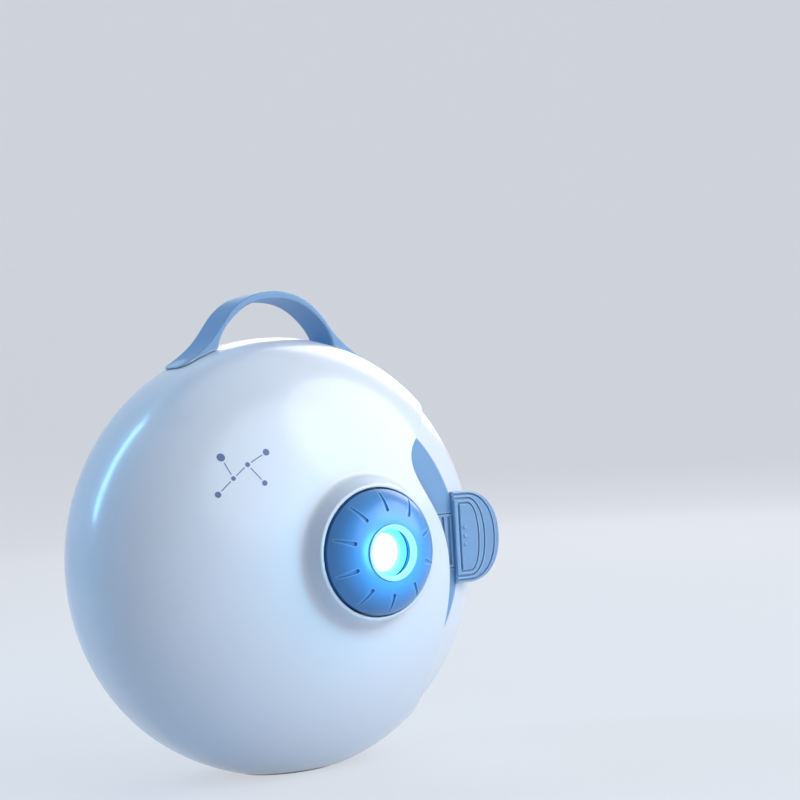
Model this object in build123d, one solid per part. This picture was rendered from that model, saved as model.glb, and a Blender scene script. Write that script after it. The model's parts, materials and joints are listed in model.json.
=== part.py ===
from build123d import *
import functools
import math
import os

# Star night light projector: a round drum-shaped body that stands on a small
# flat foot, with a carrying handle on top, a focusing knob round the lens on
# the front and a film slide that is pushed in from the right.
# +Z is up, the lens looks along -Y, and the origin is the centre of the foot.
# Lengths are in millimetres.

# Body
body_r = 75.0             # radius of the round body
body_half_depth = 41.25   # centre plane to the front or back pole
body_power = 2.5          # fullness of the section, 2 would be an ellipse
wall = 2.2                # wall of the moulded shells
foot_drop = 3.0           # how much of the round the flat on the bottom takes off
pad_proud = 1.0           # how far the foot pad stands below the body
pad_sink = 1.5            # depth of the recess that the pad is glued in
pad_margin = 2.6          # pad's edge to the edge of the flat
seam_y = 17.0             # plane where the front and rear shells meet
fit_gap = 0.2             # gap between fixed pieces that meet edge to edge
move_gap = 0.3            # gap beside a piece that moves
body_z = body_r - foot_drop + pad_proud
front_pole = -body_half_depth

# Collar round the knob, a part of the front shell
lens_x = 11.0             # optical axis to the right of the body centre
lens_rise = 1.2           # optical axis above the body centre
knob_r = 20.6
knob_gap = 0.7            # gap between the knob's rim and the collar
collar_lip = 1.1          # flat on top of the collar, outside that gap
collar_slope = 0.37       # how much wider the collar gets per millimetre of depth
collar_rise = 5.85        # collar's top in front of the body's pole
collar_depth = 4.6        # its top to the floor that the knob turns on
collar_round = 0.8
collar_blend = 2.6        # hollow fillet where the collar grows out of the shell
collar_y = front_pole - collar_rise
collar_floor_y = collar_y + collar_depth

# Focusing knob
knob_lift = 0.5           # gap between the knob's back and the collar's floor
rim_proud = 1.1           # where the dome starts, in front of the collar
dome_tall = 6.8
dome_shoulder = 4.3       # how far the dome's shoulder is inside the rim
knob_wall = 2.0
groove_count = 10
groove_turn = 20.0        # first groove above the +X direction, in degrees
groove_depth = 0.8
groove_start = 4.2        # inner end of a groove outside the bezel
groove_end = 0.9          # outer end inside the rim
groove_inner = 1.4        # width at the inner end
groove_outer = 0.6
knob_back_y = collar_floor_y - knob_lift
knob_rim_y = collar_y - rim_proud
knob_top_y = knob_rim_y - dome_tall

# Lens cell, barrel and the cam that moves the cell
lens_r = 7.2
lens_rim = 1.2            # flat rim round each lens face
cell_wall = 1.4
cell_sink = 4.5           # front of the cell behind the top of the dome
cell_depth = 13.0
cell_seat = 4.0           # front lens seat behind the front of the cell
rear_seat = 3.0
cell_lip = 0.9            # how far the lens seats reach in
barrel_gap = 0.3
barrel_wall = 1.4
flange_r = 18.0
flange_thick = 1.7
run_gap = 0.1             # radial running gap of the knob on the barrel
sleeve_wall = 1.6
sleeve_long = 6.0         # sleeve behind the collar's floor
pin_r = 1.1
pin_count = 3
pin_back = 7.5            # pins behind the front of the cell
focus_swing = 60.0        # degrees that the knob turns each way
focus_lead = 18.0         # travel of the cam slots in one whole turn
ring_thick = 0.8          # snap ring that holds the knob on the barrel
ring_back = 1.1           # middle of the ring behind the barrel's front
bezel_gap = 0.5           # bezel's bore outside the lens
bezel_wall = 1.5
bezel_proud = 0.8
bezel_seat = 1.1          # depth of the seat that the bezel is pressed in
cell_front_y = knob_top_y + cell_sink
cell_back_y = cell_front_y + cell_depth
barrel_front_y = cell_front_y + 0.2
pin_y = cell_front_y + pin_back
ring_y = barrel_front_y + ring_back
sleeve_back_y = collar_floor_y + sleeve_long
bezel_bore_r = lens_r + bezel_gap
bezel_r = bezel_bore_r + bezel_wall
bezel_front_y = knob_top_y - bezel_proud
bezel_back_y = knob_top_y + bezel_seat

# Side opening of the front shell, with the band and the leaf-shaped panel in it
edge_top = (0.513, 0.504)  # where the straight top edge ends, from the body centre in body radii
edge_low = (0.540, -0.800)  # where the S-curve leaves the shoulder
edge_inner = ((0.447, 0.387), (0.505, 0.252))
edge_bulge = ((0.597, 0.087), (0.633, -0.187), (0.584, -0.445), (0.523, -0.653))
band_recess = 1.2         # side band below the front shell's surface
lip_reach = 3.0           # how far the lips run under the front shell
lip_wall = 1.2
panel_sink = 9.45         # panel's face behind the body's pole
panel_step = 0.7          # panel's face in front of the band's edge
panel_thick = 3.3
ledge_thick = 1.5
ledge_wide = 5.0
panel_y = front_pole + panel_sink

# Film slide
slide_proud = 0.1         # front face of the tongue in front of the panel
slide_thick = 2.6
slide_half = 9.3          # half width of the tongue
window_r = 6.4
film_r = 7.7
film_thick = 0.4
film_ring_thick = 0.8
neck_groove_wide = 1.3
neck_groove_pitch = 2.5
neck_groove_deep = 0.8
grip_lap = 2.6            # grip's straight edge inside the band's front edge
grip_wide = 19.3
grip_half = 15.9
grip_rise = 1.0           # grip's middle above the tongue's
grip_straight = 5.1       # straight part of the grip's top and bottom edges
grip_power = 2.2          # fullness of the round end
grip_proud = 1.5          # rim of the grip in front of the tongue
grip_thick = 4.0
grip_tiers = ((2.7, 1.3), (7.2, 2.75), (10.0, 4.4))   # each tier inside the rim: at the end, above and below
tier_step = 0.36
tier_groove = 0.7         # width and depth of the groove round a tier
tier_round = 0.35
inner_left = 2.0          # inner tier's straight edge from the grip's
bump_r = 0.75
bump_pitch = 2.9
slide_y = panel_y - slide_proud

# Film gate, light source
gate_thick = 3.9          # tongue's front face to the gate's back
gate_left = -23.0         # gate's edges from the optical axis
gate_right = 19.5
gate_half = 18.5
arm_right = 27.5
arm_half = 11.0
gate_screw_x = (-20.0, 16.3)
gate_screw_z = 15.3
spring_start = 9.2        # leaf spring's ends from the optical axis
spring_end = 25.4
post_r = 2.6
optic_screw_r = 15.9
condenser_r = 11.8
holder_wall = 2.0
holder_tall = 16.0
board_thick = 1.6
sink_base = 3.0
fin_tall = 10.4
fin_pitch = 4.0
fin_thick = 1.2
fin_half = 11.0
fin_count = 7
led_screw_z = 15.0
gate_back_y = slide_y + gate_thick
holder_back_y = gate_back_y + holder_tall
sink_back_y = holder_back_y + board_thick + sink_base + fin_tall

# Handle
handle_half = 7.5         # half of the strap's width
handle_rise = 15.8        # top of the arch above the body
handle_thick = 2.8
handle_corner = 4.0       # corners of the feet, seen from above
handle_foot = 37.0        # outer tip of each foot
handle_inner = 22.9       # inner face of each foot
handle_tip = 0.8          # height of the blunt tips above the round
handle_round = 0.9
handle_seat = 0.3         # shadow gap under the feet
peg_x = 27.0
peg_r = 2.6
peg_depth = 2.6
peg_bite = 1.0            # how far a handle screw bites into the foot above the shell

# Rear controls
board_sink = 12.75        # board's front face in front of the rear pole
board_wide = 64.0
board_tall = 66.0
board_drop = 4.0
board_screw_x = 28.0
board_screw_top = 25.0
board_screw_low = -33.0
switch_side = 6.0
switch_tall = 3.5
plunger_r = 1.7
plunger_tall = 1.6        # plunger in front of the switch
power_z = 16.0
power_r = 6.7
mode_z = 0.0
mode_r = 4.7
button_proud = 0.9
button_flange = 1.6
pipe_z = -11.0
pipe_r = 1.4
usb_z = -27.0
usb_wide = 8.9
usb_tall = 3.2
vent_count = 5
vent_pitch = 7.0
vent_wide = 1.8
vent_tall = 14.0
vent_z = 43.0
board_y = body_half_depth - board_sink

# Battery
battery_r = 9.15
battery_long = 65.0
battery_y = 6.0
battery_gap = 0.3
cradle_wall = 1.8
cradle_leg_x = 14.0
cradle_clear = 12.7       # cradle's feet above the bottom of the round
battery_lift = 25.3       # cell's axis above the cradle's feet
cradle_foot_z = cradle_clear - body_r
battery_z = cradle_foot_z + battery_lift

# Shell screws, on a circle round the body centre
screw_inset = 16.6        # the circle inside the body's radius
screw_angles = (136.0, 224.0, 69.0, -66.0)
boss_r = 3.6
boss_back = 4.0           # end of the front bosses in front of the seam
screw_r = 1.3
screw_tip_y = 2.0
head_r = 2.5
head_sink = 5.0           # seat of the heads behind the seam
boss_end_y = seam_y - boss_back
head_y = seam_y + head_sink

BIG = 300.0


def turned(*outline):
    """Solid turned about the Y axis from a closed (radius, y) outline."""
    return revolve(make_face(Polyline(*outline, close=True)), Axis.Y)


def tube(r_out, r_in, y_front, y_back):
    return turned((r_in, y_front), (r_out, y_front), (r_out, y_back), (r_in, y_back))


def rod(r, y_front, y_back):
    return tube(r, 0, y_front, y_back)


def on_body(x=0.0, z=0.0):
    """Location at (x, z) from the body centre."""
    return Pos(x, 0, body_z + z)


def on_lens(x=0.0, z=0.0):
    """Location at (x, z) from the optical axis."""
    return on_body(lens_x + x, lens_rise + z)


def block(x0, x1, y0, y1, z0, z1):
    return Pos((x0 + x1) / 2, (y0 + y1) / 2, (z0 + z1) / 2) * Box(x1 - x0, y1 - y0, z1 - z0)


@functools.lru_cache(maxsize=None)
def body_form(grow):
    """The full body as a solid of revolution, grown by a distance."""
    steps = 8
    points = []
    for i in range(2 * steps + 1):
        t = math.pi * i / (2 * steps)
        r = (body_r + grow) * math.sin(t) ** (2 / body_power) if i < 2 * steps else 0
        y = (body_half_depth + grow) * abs(math.cos(t)) ** (2 / body_power)
        points.append((r, -y if t < math.pi / 2 else y))
    curve = Spline(*points, tangents=[(1, 0), (-1, 0)])
    axis_line = Line(points[-1], points[0])
    return on_body() * revolve(make_face([curve, axis_line]), Axis.Y)


def cavity():
    """The space inside the shells, with a flat floor above the foot."""
    floor = pad_proud + pad_sink + wall
    return body_form(-wall) - block(-BIG, BIG, -BIG, BIG, -BIG, floor)


def surface_y(x, z, grow=0.0):
    """Distance of the body's surface from the centre plane at (x, z) from the centre."""
    r = math.hypot(x, z) / (body_r + grow)
    return (body_half_depth + grow) * (1 - r ** body_power) ** (1 / body_power)


def radius_at(y, grow=0.0):
    """Radius of the body's surface at a distance from the centre plane."""
    part = abs(y) / (body_half_depth + grow)
    return (body_r + grow) * (1 - part ** body_power) ** (1 / body_power)


def round_z(x, rise=0.0):
    """Height above the body centre at x on the round, lifted by a distance."""
    return math.sqrt(body_r ** 2 - x ** 2) + rise


def band_front_r():
    """Round front edge of the side band, a step behind the panel's face."""
    return radius_at(panel_y + panel_step, -band_recess)


def grip_left():
    return band_front_r() - grip_lap


def on_screw_circle():
    """Places of the shell screws as (x, z) from the body centre."""
    r = body_r - screw_inset
    return [(r * math.cos(math.radians(a)), r * math.sin(math.radians(a))) for a in screw_angles]


def side_edge(grow):
    """Points of the side opening's S-curved edge from the body centre, moved out by a distance."""
    points = [(body_r * x, body_r * z) for x, z in (edge_top, *edge_inner, *edge_bulge, edge_low)]
    moved = []
    for i, (x, z) in enumerate(points):
        x0, z0 = points[max(i - 1, 0)]
        x1, z1 = points[min(i + 1, len(points) - 1)]
        if i == 0:
            x0, z0 = x + 1, z + 1
        length = math.hypot(x1 - x0, z1 - z0)
        moved.append((x + grow * (z1 - z0) / length, z - grow * (x1 - x0) / length))
    return moved


def side_region(grow=0.0):
    """Front view of the side opening, from the S-curved edge outwards, as a prism."""
    points = side_edge(grow)
    low, high = points[-1], points[0]
    out = 40.0
    far = 2 * body_r
    frame = Polyline(low, (low[0] + 0.18 * out, low[1] - out), (far, low[1] - out),
                     (far, high[1] + out), (high[0] + out, high[1] + out), high)
    face = make_face([Spline(*points), frame])
    return on_body() * Pos(0, BIG / 2, 0) * Rot(90, 0, 0) * extrude(face, BIG)


def front_part(solid, y):
    return solid & block(-BIG, BIG, -BIG, y, -BIG, BIG)


def rear_part(solid, y):
    return solid & block(-BIG, BIG, y, BIG, -BIG, BIG)


def trimmed_body():
    return body_form(0) - block(-BIG, BIG, -BIG, BIG, -BIG, pad_proud)


def pad_form(grow=0.0):
    drop = body_r - foot_drop
    half_x = math.sqrt(body_r ** 2 - drop ** 2) - pad_margin + grow
    half_y = surface_y(0, drop) - pad_margin + grow
    return extrude(Ellipse(half_x, half_y), pad_proud + pad_sink)


def eased(solid, edges, r):
    """Fillet that falls back to a smaller radius where the full one has no room."""
    for part in (1.0, 0.7, 0.45, 0.2):
        try:
            done = solid.fillet(r * part, edges)
        except ValueError:
            continue
        if done.is_valid:
            return done
    return solid


def collared_body():
    """The trimmed body with the knob's collar grown out of its front."""
    lip_r = knob_r + knob_gap + collar_lip
    back = 0.5 - surface_y(lens_x + knob_r + 5.0, lens_rise)
    foot_r = lip_r + collar_slope * (back - collar_y)
    collar = turned((0, collar_y), (lip_r, collar_y), (foot_r, back), (0, back))
    collar = collar.fillet(collar_round, collar.edges().group_by(Axis.Y)[0])
    form = trimmed_body() + on_lens() * collar
    foot = []
    for edge in form.edges():
        middle = edge @ 0.5
        off_axis = math.hypot(middle.X - lens_x, middle.Z - body_z - lens_rise)
        if lip_r + 0.5 < off_axis < foot_r + 1.0 and front_pole - 0.5 < middle.Y < back:
            foot.append(edge)
    return eased(form, foot, collar_blend)


def front_shell():
    shell = front_part(collared_body() - cavity(), seam_y)
    shell -= on_lens() * rod(knob_r + knob_gap, -BIG, collar_floor_y)
    shell -= on_lens() * rod(barrel_out() + run_gap + sleeve_wall + 0.5, -BIG, 0)
    shell -= side_region()
    z = body_z + lens_rise
    half = slide_half + move_gap
    shell -= block(lens_x, 2 * body_r, slide_y - move_gap, 0, z - half, z + half) & body_form(-0.8)
    solid_core = body_form(-wall / 2)
    for x, z in on_screw_circle():
        post = on_body(x, z) * rod(boss_r, -BIG / 2, boss_end_y)
        shell += post & solid_core
    for x in gate_screw_x:
        for z in (gate_screw_z, -gate_screw_z):
            shell += (on_lens(x, z) * rod(post_r, -BIG / 2, slide_y - 0.4)) & solid_core
    leg_low = pad_proud + pad_sink + wall / 2
    leg_top = body_z + cradle_foot_z
    for x in (cradle_leg_x, -cradle_leg_x):
        shell += Pos(x, battery_y, (leg_low + leg_top) / 2) * Cylinder(3.4, leg_top - leg_low)
    for x, z in on_screw_circle():
        shell -= on_body(x, z) * rod(screw_r + 0.05, screw_tip_y - 1.0, boss_end_y + 1)
    for x in gate_screw_x:
        for z in (gate_screw_z, -gate_screw_z):
            shell -= on_lens(x, z) * rod(1.05, slide_y - 5.0, slide_y)
    for x in (cradle_leg_x, -cradle_leg_x):
        shell -= Pos(x, battery_y, body_z + cradle_foot_z) * Cylinder(1.05, 8)
    for side in (1, -1):
        shell -= peg_place(side) * Cylinder(peg_r + 0.1, 3 * peg_depth)
    shell -= pad_form(fit_gap)
    return shell


def rear_shell():
    shell = rear_part(trimmed_body() - cavity(), seam_y + fit_gap)
    lip = body_form(-wall - fit_gap) - body_form(-wall - fit_gap - lip_wall)
    lip = rear_part(front_part(lip, seam_y + 4.0), seam_y - 3.0) - side_region(lip_reach + 1.5)
    lip -= block(-BIG, BIG, -BIG, BIG, -BIG, pad_proud + pad_sink + wall + fit_gap)
    joint = body_form(-wall / 2) - body_form(-wall - fit_gap - lip_wall)
    joint = rear_part(front_part(joint, seam_y + 4.0), seam_y + 1.0)
    shell += lip + (joint & (trimmed_body() - block(-BIG, BIG, -BIG, BIG, -BIG, pad_proud + 1)))
    solid_core = body_form(-wall / 2)
    for x, z in on_screw_circle():
        shell += (on_body(x, z) * rod(boss_r + 0.8, boss_end_y + fit_gap, BIG / 2)) & solid_core
    for x, z in board_holes():
        shell += (on_body(x, z) * rod(3.0, board_y + board_thick, BIG / 2)) & solid_core
    for x, z in on_screw_circle():
        shell -= on_body(x, z) * rod(screw_r + 0.2, 0, BIG / 2)
        shell -= on_body(x, z) * rod(head_r + 0.4, head_y, BIG / 2)
    for x, z in board_holes():
        shell -= on_body(x, z) * rod(1.05, board_y, board_y + 6.0)
    shell -= on_body(0, power_z) * rod(power_r + move_gap, 0, BIG)
    shell -= on_body(0, mode_z) * rod(mode_r + move_gap, 0, BIG)
    shell -= on_body(0, pipe_z) * rod(pipe_r + 0.1, 0, BIG)
    shell -= on_body(0, usb_z) * usb_form(0.35, board_y, BIG / 2)
    for i in range(vent_count):
        x = (i - (vent_count - 1) / 2) * vent_pitch
        slot = extrude(SlotOverall(vent_tall, vent_wide, rotation=90), BIG)
        shell -= on_body(x, vent_z) * Rot(-90, 0, 0) * slot
    return shell


def side_band():
    region = side_region(-fit_gap)
    front_cut = on_body() * rod(band_front_r(), -BIG / 2, 0)
    skin = body_form(-band_recess) - body_form(-wall - fit_gap - lip_wall)
    skin = front_part(skin, seam_y) & region
    lip = body_form(-wall - fit_gap) - body_form(-wall - fit_gap - lip_wall)
    lip = front_part(lip, seam_y) & side_region(lip_reach)
    band = (skin + lip) - front_cut
    ledge_y = panel_y + panel_thick
    ledge = on_body() * tube(body_r, band_front_r() - ledge_wide, ledge_y, ledge_y + ledge_thick)
    band += ledge & region & body_form(-band_recess - 0.3)
    return band - tongue_channel(0, body_r)


def tongue_channel(x0, x1):
    """Room for the film slide's tongue, open to the front."""
    z = body_z + lens_rise
    half = slide_half + move_gap
    return block(x0, x1, -BIG, slide_y + slide_thick + move_gap, z - half, z + half)


def slot_panel():
    disc = on_body() * rod(band_front_r() - fit_gap, panel_y, panel_y + panel_thick)
    plate = disc & side_region(-fit_gap)
    plate += disc & side_region(lip_reach - 0.5) & body_form(-wall - fit_gap)
    return plate - tongue_channel(0, BIG)


def base_pad():
    pad = pad_form()
    return pad.fillet(0.5, pad.edges().group_by(Axis.Z)[0])


def peg_place(side):
    """Location on the shell under a handle foot, its Z pointing outwards."""
    rise = math.sqrt(body_r ** 2 - peg_x ** 2)
    tilt = math.degrees(math.atan2(peg_x, rise))
    return on_body(side * peg_x, rise) * Rot(0, side * tilt, 0)


def handle():
    flare = [(handle_foot, handle_tip), (31.0, handle_tip + 0.4), (24.2, 4.4), (17.2, 11.0), (9.4, 14.7)]
    flare = [(x, round_z(x, rise)) for x, rise in flare]
    top = body_r + handle_rise
    outer = Spline(*[(-x, z) for x, z in flare], (0, top), *reversed(flare))
    throat = [(handle_inner, -1.4), (21.6, 3.3), (17.4, 7.9), (9.8, 11.9)]
    throat = [(x, round_z(x, rise)) for x, rise in throat]
    inner = Spline(*throat, (0, top - handle_thick), *[(-x, z) for x, z in reversed(throat)])
    low = round_z(handle_foot, -5.0)
    right = Polyline(flare[0], (handle_foot, low), (handle_inner, low), throat[0])
    left = Polyline((-handle_inner, throat[0][1]), (-handle_inner, low), (-handle_foot, low),
                    (-handle_foot, flare[0][1]))
    face = make_face([outer, right, inner, left])
    strap = on_body() * Pos(0, handle_half, 0) * Rot(90, 0, 0) * extrude(face, 2 * handle_half)
    above = body_z + low + 1
    tips = [e for e in strap.edges().filter_by(Axis.Y)
            if abs(e.center().X) > handle_foot - 0.1 and e.center().Z > above]
    strap = eased(strap, tips, 0.6)
    long_edges = [e for e in strap.edges()
                  if abs(abs(e.center().Y) - handle_half) < 0.01 and e.center().Z > above]
    strap = eased(strap, long_edges, handle_round)
    plan = extrude(RectangleRounded(2 * handle_foot, 2 * handle_half, handle_corner), 2 * body_r)
    strap &= Pos(0, 0, above) * plan
    seat = body_form(handle_seat)
    for side in (1, -1):
        seat -= peg_place(side) * Cylinder(peg_r + 1.0, 8)
    strap -= seat
    strap -= body_form(0.05)
    for side in (1, -1):
        peg = peg_place(side) * Pos(0, 0, -peg_depth / 2 + 0.5) * Cylinder(peg_r, peg_depth + 1)
        hole = peg_place(side) * Pos(0, 0, peg_bite - 2 * peg_depth) * Cylinder(1.05, 4 * peg_depth)
        hole = hole & body_form(peg_bite + 0.2)
        strap = strap + peg - hole
    return strap


def handle_screws():
    screws = []
    for side in (1, -1):
        head = Pos(0, 0, -peg_depth - 0.8) * Cylinder(4.0, 1.6)
        shank = Pos(0, 0, (peg_bite - peg_depth) / 2) * Cylinder(1.0, peg_depth + peg_bite)
        screws.append(peg_place(side) * (head + shank))
    return screws


def barrel_in():
    return lens_r + cell_wall + barrel_gap


def barrel_out():
    return barrel_in() + barrel_wall


def dome_outline(inset):
    """Outer edge of the knob from the bezel seat to its back, drawn inset."""
    top = (bezel_r + 0.1, knob_top_y + inset)
    rim = (knob_r - inset, knob_rim_y)
    shoulder_y = knob_top_y + dome_tall / 3
    middle = (knob_r - dome_shoulder - 0.7 * inset, shoulder_y + 0.7 * inset)
    return top, middle, rim


def knob_dome(top, middle, rim):
    arc = ThreePointArc(top, middle, rim)
    rest = Polyline(rim, (rim[0], knob_back_y), (0, knob_back_y), (0, top[1]), top)
    return revolve(make_face([arc, rest]), Axis.Y)


def groove_floor():
    """Dome that is lowest round the bezel and meets the knob's face at the rim."""
    top, middle, rim = dome_outline(0)
    deep = (top[0], top[1] + groove_depth)
    halfway = (middle[0] - 0.55 * groove_depth, middle[1] + 0.55 * groove_depth)
    return knob_dome(deep, halfway, rim)


def knob_grooves():
    """Radial grooves with round ends that fade out towards the rim."""
    near = bezel_r + groove_start + groove_inner / 2
    far = knob_r - groove_end - groove_outer / 2
    half_in, half_out = groove_inner / 2, groove_outer / 2
    inner = ThreePointArc((near, half_in), (near - half_in, 0), (near, -half_in))
    outer = ThreePointArc((far, -half_out), (far + half_out, 0), (far, half_out))
    sides = [Line((near, -half_in), (far, -half_out)), Line((far, half_out), (near, half_in))]
    groove = Rot(90, 0, 0) * extrude(make_face([inner, outer, *sides]), BIG / 2)
    groove -= groove_floor()
    groove = front_part(groove, knob_back_y - 1.0)
    return [Rot(0, -(groove_turn + i * 360 / groove_count), 0) * groove for i in range(groove_count)]


def cam_slot():
    """Helical slot in the sleeve that drives one pin, drawn round the Y axis."""
    mid_r = barrel_out() + run_gap + sleeve_wall / 2
    spare = 7.0
    turn = (2 * (focus_swing + spare)) / 360
    helix = Helix(focus_lead, focus_lead * turn, mid_r, lefthand=True)
    start = helix @ 0
    profile = Plane(origin=start, z_dir=helix % 0, x_dir=Vector(1, 0, 0)) * Rectangle(
        sleeve_wall + 1.6, 2 * (pin_r + move_gap))
    slot = sweep(profile, path=helix, is_frenet=True)
    centred = Rot(0, 0, 360 * turn / 2) * Pos(0, 0, -focus_lead * turn / 2) * slot
    return Pos(0, pin_y, 0) * Rot(-90, 0, 0) * centred


def focus_knob():
    knob = knob_dome(*dome_outline(0))
    for groove in knob_grooves():
        knob -= groove
    sleeve_in = barrel_out() + run_gap
    sleeve_out = sleeve_in + sleeve_wall
    top, middle, rim = dome_outline(knob_wall)
    arc = ThreePointArc((sleeve_out, knob_top_y + knob_wall + 0.2), middle, rim)
    back = knob_back_y + 1
    rest = Polyline(rim, (rim[0], back), (sleeve_out, back), (sleeve_out, knob_top_y + knob_wall + 0.2))
    knob -= revolve(make_face([arc, rest]), Axis.Y)
    knob += tube(sleeve_out, sleeve_in, knob_top_y + knob_wall, sleeve_back_y)
    knob -= rod(sleeve_in, ring_y + ring_thick / 2 + 0.2, 0)
    knob -= rod(sleeve_in + 1.0, barrel_front_y - move_gap, ring_y + ring_thick / 2 + 0.2)
    knob -= rod(lens_r + cell_wall + move_gap, -BIG, 0)
    knob -= rod(bezel_r + 0.05, -BIG, bezel_back_y)
    slot = cam_slot()
    for i in range(pin_count):
        knob -= Rot(0, 360 / pin_count * i, 0) * slot
    return on_lens() * knob


def lens_bezel():
    ring = turned(
        (bezel_bore_r, bezel_back_y), (bezel_r, bezel_back_y), (bezel_r, bezel_front_y),
        (bezel_bore_r + 0.5, bezel_front_y),
    )
    edge = ring.edges().filter_by(GeomType.CIRCLE).sort_by(Axis.Y)[0]
    return on_lens() * ring.fillet(0.3, [edge])


def knob_snap_ring():
    ring = tube(barrel_out() + 0.9, barrel_out() - 0.5, ring_y - ring_thick / 2, ring_y + ring_thick / 2)
    gap = block(-2.5, 2.5, ring_y - 1, ring_y + 1, 0, BIG)
    return on_lens() * (ring - gap)


def lens_barrel():
    barrel = tube(barrel_out(), barrel_in(), barrel_front_y, slide_y - 0.4)
    flange_front = slide_y - 0.5 - flange_thick
    barrel += tube(flange_r, barrel_in(), flange_front, slide_y - 0.5)
    barrel -= tube(BIG, barrel_out() - 0.6, ring_y - ring_thick / 2 - 0.05, ring_y + ring_thick / 2 + 0.05)
    reach = focus_lead * focus_swing / 360 + pin_r + move_gap
    half = pin_r + 0.1
    slot = block(0, BIG, pin_y - reach, pin_y + reach, -half, half)
    for i in range(pin_count):
        barrel -= Rot(0, 360 / pin_count * i, 0) * slot
    for hole in optic_holes(1.05, flange_front - 1, 0):
        barrel -= hole
    return on_lens() * barrel


def optic_holes(r, y_front, y_back):
    """Four rods on the screw circle round the optical axis."""
    far = optic_screw_r * math.sqrt(0.5)
    return [Pos(x, 0, z) * rod(r, y_front, y_back) for x in (far, -far) for z in (far, -far)]


def lens_cell():
    out_r = lens_r + cell_wall
    cell = tube(out_r, lens_r - cell_lip, cell_front_y, cell_back_y)
    cell -= rod(lens_r + 0.05, -BIG, cell_front_y + cell_seat)
    cell -= rod(lens_r + 0.05, cell_back_y - rear_seat, 0)
    for i in range(pin_count):
        cell -= Rot(0, 360 / pin_count * i, 0) * pin_form(0.02, out_r - 1.3)
    return on_lens() * cell


def pin_form(grow, start):
    """A cam pin along +X from a given radius."""
    end = barrel_out() + run_gap + sleeve_wall - 0.2
    return Pos((start + end) / 2, pin_y, 0) * Rot(0, 90, 0) * Cylinder(pin_r + grow, end - start)


def cam_pins():
    start = lens_r + cell_wall - 1.2
    return [on_lens() * Rot(0, 360 / pin_count * i, 0) * pin_form(0, start) for i in range(pin_count)]


def lens_solid(r, y_edge_front, y_edge_back, bulge_front, bulge_back):
    """A lens turned about the axis, with a flat rim round its bulging faces."""
    zone = r - lens_rim
    front_tip = (0, y_edge_front - bulge_front)
    back_tip = (0, y_edge_back + bulge_back)
    front = edge_arc((zone, y_edge_front), front_tip)
    back = edge_arc((zone, y_edge_back), back_tip)
    rim = Polyline((zone, y_edge_front), (r, y_edge_front), (r, y_edge_back), (zone, y_edge_back))
    return revolve(make_face([front, rim, back, Line(front_tip, back_tip)]), Axis.Y)


def edge_arc(rim, tip):
    """Quarter section of a spherical face, or a flat one."""
    sag = tip[1] - rim[1]
    if abs(sag) < 0.01:
        return Line(rim, tip)
    radius = (rim[0] ** 2 + sag ** 2) / (2 * abs(sag))
    half = 0.5 * math.asin(rim[0] / radius)
    centre_y = tip[1] - math.copysign(radius, sag)
    middle = (radius * math.sin(half), centre_y + math.copysign(radius * math.cos(half), sag))
    return ThreePointArc(rim, middle, tip)


def front_lens():
    seat = cell_front_y + cell_seat
    return on_lens() * lens_solid(lens_r, seat - 2.0, seat - 0.05, 1.3, 0.6)


def lens_retainer():
    seat = cell_front_y + cell_seat
    return on_lens() * tube(lens_r, lens_r - cell_lip, cell_front_y + 0.3, seat - 2.05)


def rear_lens():
    seat = cell_back_y - rear_seat
    return on_lens() * lens_solid(lens_r, seat + 0.05, seat + 1.8, 0.0, 1.0)


def film_gate():
    front = slide_y - 0.4
    gate = block(gate_left, gate_right, front, gate_back_y, -gate_half, gate_half)
    gate += block(gate_right - 1, arm_right, front, gate_back_y, -arm_half, arm_half)
    corners = gate.edges().filter_by(Axis.Y).sort_by(Axis.X)[:2]
    gate = on_lens() * gate.fillet(5.0, corners)
    gate -= tongue_channel(lens_x, body_r)
    gate -= on_lens() * rod(slide_half + move_gap, -BIG, slide_y + slide_thick + move_gap)
    gate -= on_lens() * rod(window_r + 1.0, -BIG, 0)
    spring_floor = slide_y + slide_thick + move_gap + 0.9
    gate -= on_lens() * block(spring_start - 0.5, spring_end + 0.6, front, spring_floor, -2.9, 2.9)
    for x in gate_screw_x:
        for z in (gate_screw_z, -gate_screw_z):
            gate -= on_lens(x, z) * rod(1.2, -BIG, 0)
    for hole in optic_holes(1.15, -BIG, 0):
        gate -= on_lens() * hole
    return gate


def gate_spring():
    """Bowed leaf that presses lightly on the back of the tongue."""
    low = slide_y + slide_thick + move_gap + 0.85
    high = slide_y + slide_thick + 0.05
    thick = 0.25
    x0, x1 = spring_start, spring_end
    mid = (x0 + x1) / 2
    upper = ThreePointArc((x0, low - thick), (mid, high), (x1, low - thick))
    lower = ThreePointArc((x1, low), (mid, high + thick), (x0, low))
    outline = make_face([upper, Line((x1, low - thick), (x1, low)), lower, Line((x0, low), (x0, low - thick))])
    return on_lens() * Pos(0, 0, -2.5) * extrude(outline, 5.0)


def grip_outline(inset, left):
    """Rounded D seen from the front, straight on the left, as a face."""
    end, rise = inset
    bend = grip_left() + grip_straight
    reach = grip_wide - grip_straight - end
    half = grip_half - rise
    steps = 6
    curve = []
    for i in range(-steps, steps + 1):
        t = math.radians(90 * i / steps)
        x = bend + reach * abs(math.cos(t)) ** (2 / grip_power)
        z = math.copysign(half * abs(math.sin(t)) ** (2 / grip_power), t)
        curve.append((x, z))
    rest = Polyline(curve[-1], (left, half), (left, -half), curve[0])
    return make_face([Spline(*curve), rest])


def grip_layer(inset, left, y_front, y_back, ease=0.0):
    """Slice of the grip between two planes, with its front edge rounded over."""
    place = Pos(0, y_back, body_z + lens_rise + grip_rise) * Rot(90, 0, 0)
    layer = place * extrude(grip_outline(inset, left), y_back - y_front)
    if ease:
        layer = eased(layer, layer.edges().group_by(Axis.Y)[0], ease)
    return layer


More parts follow.
